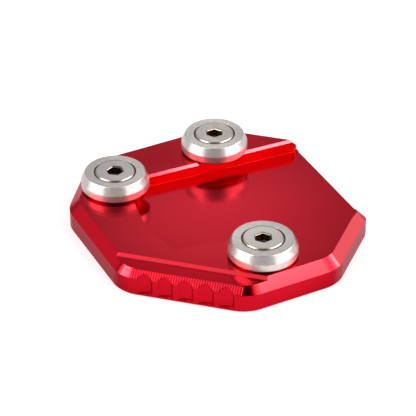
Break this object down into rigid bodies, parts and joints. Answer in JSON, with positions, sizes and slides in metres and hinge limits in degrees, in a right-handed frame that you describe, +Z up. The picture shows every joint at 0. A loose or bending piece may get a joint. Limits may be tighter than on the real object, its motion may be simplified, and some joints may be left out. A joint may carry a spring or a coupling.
{
  "type": "kickstand foot enlarger",
  "caption": "Eight-sided machined plate that widens a motorbike side stand's foot, with a tilted seat for the foot and countersunk clamp washers held by socket screws.",
  "frame": {"origin": "middle of the plate's underside", "axes": "+Z up from the ground face, -Y towards the fluted front side, +X to the right as seen from the front"},
  "size_m": [0.0825, 0.0778, 0.0133],
  "materials": {
    "red_anodised": "satin red anodised, milled",
    "turned_aluminium": "turned, natural",
    "plated_steel": "bright nickel plated"
  },
  "bodies": {
    "root": {"base_plate": "red_anodised", "clamp_washer_left": "turned_aluminium", "clamp_washer_back": "turned_aluminium", "clamp_washer_front": "turned_aluminium", "clamp_screws": "plated_steel"}
  },
  "joints": []
}
